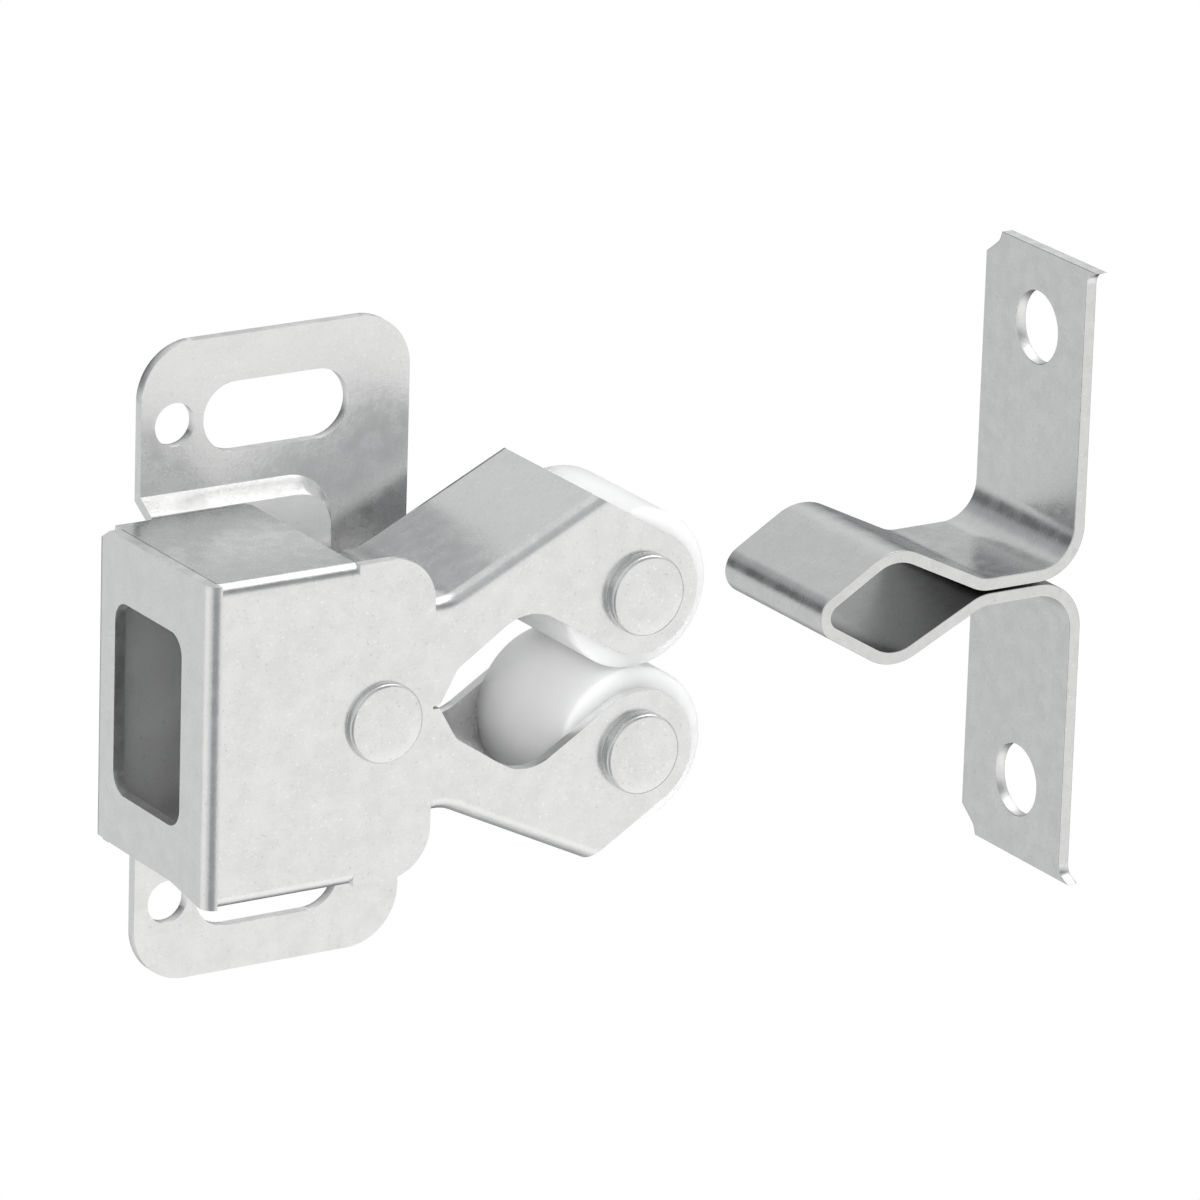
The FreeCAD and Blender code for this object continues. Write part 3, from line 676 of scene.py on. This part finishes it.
@dataclass(frozen=True)
class Lamp:
    """A soft square lamp that lights matt surfaces only and points at the catch.

    Attributes:
        name: The lamp's name.
        toward: The direction in which it hangs, as seen from the catch.
        size: Its width, in metres.
        power: Its power, in watts.
        distance: How far from the catch it hangs, in metres.
    """

    name: str
    toward: tuple[float, float, float]
    size: float
    power: float
    distance: float = 0.6

    def hang(self) -> None:
        """Adds the lamp to the scene."""
        data = bpy.data.lights.new(self.name, "AREA")
        data.size = self.size
        data.energy = self.power
        lamp = bpy.data.objects.new(self.name, data)
        bpy.context.scene.collection.objects.link(lamp)
        direction = Vector(self.toward).normalized()
        turn = direction.to_track_quat("Z", "Y").to_matrix().to_4x4()
        lamp.matrix_world = Matrix.Translation(direction * self.distance) @ turn
        lamp.visible_glossy = False
        lamp.visible_camera = False


@dataclass
class Studio:
    """The camera, the lamps, the white surround and the floor.

    Attributes:
        azimuth: The camera's turn about Z, from straight in front.
        elevation: The camera's height, as an angle.
        roll: The camera's turn about its own axis.
        lens: The focal length, in the film's millimetres.
        film: The width of the film, in its millimetres.
        near: The distance at which the camera starts to see.
        distance: How far the camera stands from the aim.
        offset: Where the aim stands in the view, from its middle.
        aim: The point that the camera is placed from.
        floor_height: The height of the floor.
        floor_size: Half the floor's width.
        floor_tone: The grey of the floor, as other surfaces see it.
        base_level: The surround's level where no patch or band changes it.
        least_level: The lowest level of the surround.
        glows: The patches.
        band_low: The two heights between which the rear band starts.
        band_high: The two heights between which it ends.
        band_rear: How far back a direction points where the band starts and where it is full.
        band_change: How much the band adds to the level.
        tint_levels: The levels at which the surround is cool and warm.
        cool: The tint of its dark parts.
        warm: The tint of its light parts.
        lamps: The lamps.
    """

    azimuth: float = math.radians(-32.175)
    elevation: float = math.radians(18.389)
    roll: float = math.radians(1.807)
    lens: float = 275.0
    film: float = 36.0
    near: float = 0.05
    distance: float = 626.854 * MM
    offset: tuple[float, float] = (-28.848 * MM, -4.111 * MM)
    aim: Vector = field(default_factory=lambda: Vector((-6.906 * MM, 0.0, 0.0)))
    floor_height: float = -100 * MM
    floor_size: float = 3.0
    floor_tone: float = 0.9
    base_level: float = 0.69
    least_level: float = 0.05
    glows: tuple[Glow, ...] = (
        Glow((0.505, -0.803, -0.315), 0.55, 0.9, 0.2),
        Glow((0.505, 0.803, 0.315), 0.9, 0.98, 0.1),
        Glow((0.85, 0.45, -0.3), 0.75, 0.93, -0.45),
        Glow((0.45, 0.5, -0.74), 0.8, 0.95, -0.3),
        Glow((0.5, -0.45, -0.74), 0.85, 0.96, 0.15),
        Glow((-0.9, 0.29, -0.315), 0.86, 0.97, 0.2),
        Glow((-0.5, -0.8, -0.315), 0.82, 0.96, -0.34),
        Glow((0.505, -0.67, 0.54), 0.9, 0.98, -0.25),
        Glow((0.1, -0.75, 0.65), 0.75, 0.93, -0.16),
        Glow((0.1, 1.0, 0.0), 0.86, 0.97, -0.45),
        Glow((-0.45, 0.84, 0.3), 0.87, 0.97, -0.25),
        Glow((0.5, 0.15, 0.85), 0.84, 0.975, 1.15))
    band_low: tuple[float, float] = (-0.12, 0.06)
    band_high: tuple[float, float] = (0.27, 0.45)
    band_rear: tuple[float, float] = (0.45, 0.75)
    band_change: float = -0.3
    tint_levels: tuple[float, float] = (0.35, 0.95)
    cool: tuple[float, float, float, float] = (0.955, 0.983, 1.0, 1.0)
    warm: tuple[float, float, float, float] = (1.0, 0.997, 0.988, 1.0)
    lamps: tuple[Lamp, ...] = (
        Lamp("top lamp", (0.05, 0.0, 1.0), 0.3, 1.0),
        Lamp("front lamp", (-0.52, -0.8, 0.32), 0.25, 3.2))

    def camera(self) -> None:
        """Sets up the camera at the photograph's viewing angle."""
        across = Vector((math.cos(self.azimuth), math.sin(self.azimuth), 0.0))
        back = Vector((math.sin(self.azimuth) * math.cos(self.elevation),
                       -math.cos(self.azimuth) * math.cos(self.elevation),
                       math.sin(self.elevation)))
        up = back.cross(across)
        turn = Matrix.Rotation(self.roll, 3, back)
        across, up = turn @ across, turn @ up
        data = bpy.data.cameras.new("camera")
        data.sensor_width = self.film
        data.lens = self.lens
        data.clip_start = self.near
        camera = bpy.data.objects.new("camera", data)
        bpy.context.scene.collection.objects.link(camera)
        axes = Matrix((across, up, back)).transposed().to_4x4()
        place = self.aim - across * self.offset[0] - up * self.offset[1] + back * self.distance
        camera.matrix_world = Matrix.Translation(place) @ axes
        bpy.context.scene.camera = camera

    def floor(self) -> None:
        """Lays the pale floor below the catch."""
        shape = bmesh.new()
        bmesh.ops.create_grid(shape, x_segments=1, y_segments=1, size=self.floor_size)
        bmesh.ops.translate(shape, vec=(0.0, 0.0, self.floor_height), verts=shape.verts)
        mesh = bpy.data.meshes.new("floor")
        shape.to_mesh(mesh)
        shape.free()
        floor = bpy.data.objects.new("floor", mesh)
        bpy.context.scene.collection.objects.link(floor)
        made = bpy.data.materials.new("floor")
        made.use_nodes = True
        wiring = Wiring(made.node_tree)
        paint = wiring.node("BsdfDiffuse", {"Color": (self.floor_tone,) * 3 + (1.0,)})
        glow = wiring.node("Emission", {"Color": WHITE, "Strength": 1.0})
        seen = wiring.node("LightPath").outputs["Is Camera Ray"]
        mix = wiring.node("MixShader", {0: seen, 1: paint.outputs[0], 2: glow.outputs[0]})
        wiring.node("OutputMaterial", {"Surface": mix.outputs[0]})
        mesh.materials.append(made)
        floor.visible_glossy = False

    def world(self) -> None:
        """Makes the white surround, with a soft studio in the reflections."""
        world = bpy.data.worlds.new("studio")
        bpy.context.scene.world = world
        world.use_nodes = True
        wiring = Wiring(world.node_tree)
        way = wiring.node("TexCoord").outputs["Generated"]
        parts = wiring.node("SeparateXYZ", {0: way}).outputs
        rise = wiring.spread(parts["Z"], *self.band_low)
        fall = wiring.spread(parts["Z"], *self.band_high[::-1])
        rear = wiring.spread(parts["Y"], *self.band_rear, 0.0, self.band_change)
        band = wiring.math("MULTIPLY", wiring.math("MULTIPLY", rise, fall), rear)
        level = wiring.math("ADD", band, self.base_level)
        for glow in self.glows:
            sockets = {0: way, 1: Vector(glow.toward).normalized()}
            facing = wiring.node("VectorMath", sockets, operation="DOT_PRODUCT").outputs["Value"]
            patch = wiring.spread(facing, glow.rim, glow.core, 0.0, glow.change)
            level = wiring.math("ADD", level, patch)
        level = wiring.math("MAXIMUM", level, self.least_level)
        seen = wiring.node("LightPath").outputs["Is Camera Ray"]
        strength = wiring.spread(seen, 0.0, 1.0, level, 1.0)
        tint = wiring.blend(wiring.spread(strength, *self.tint_levels), self.cool, self.warm)
        background = wiring.node("Background", {"Color": tint, "Strength": strength})
        wiring.node("OutputWorld", {"Surface": background.outputs[0]})

    def build(self) -> None:
        """Sets up the whole studio."""
        self.camera()
        self.floor()
        self.world()
        for lamp in self.lamps:
            lamp.hang()
        bpy.context.scene.view_settings.view_transform = "Standard"


def make_finishes() -> dict[str, bpy.types.Material]:
    """Makes the finishes of all pieces.

    Returns:
        The materials by name.
    """
    effects = EffectGroups()
    looks = {
        "zinc": ZincFinish("zinc sheet"),
        "cut": ZincFinish("zinc cut edge", tone=0.86, speck_tone=0.2, roughness=0.4,
                          speck_size=0.18, grain_height=0.012 * MM),
        "strike": ZincFinish("zinc strip", tone=0.74),
        # Lighter tone on the housing's inner faces: painted light lifting the shade there, on a
        # duller, rougher skin.
        "inside": ZincFinish("zinc inside painted lighter", tone=0.93, patch_tone=0.04, roughness=0.5, metallic=0.9),
        # Darker tone on the bulb's inner faces: painted shade in the hollow.
        "bulb painted shade": ZincFinish("bulb painted shade", tone=0.5, roughness=0.32),
        "rivet": ZincFinish("rivet steel", roughness=0.24, speck_tone=0.16),
        "wire": ZincFinish("spring wire", tone=0.62, roughness=0.3, grain_height=0.003 * MM),
        "nylon": NylonFinish(),
    }
    return {name: look.material(effects) for name, look in looks.items()}


def main() -> None:
    """Builds the catch, its strike and the studio."""
    logging.basicConfig(level=logging.INFO, format="%(message)s")
    finishes = make_finishes()
    CatchBody().build(finishes)
    for side in Side:
        RollerArm(side).build(finishes)
    TorsionSpring().build(finishes["wire"])
    StrikePlate().build(finishes)
    Studio().build()


if __name__ == "__main__":
    main()
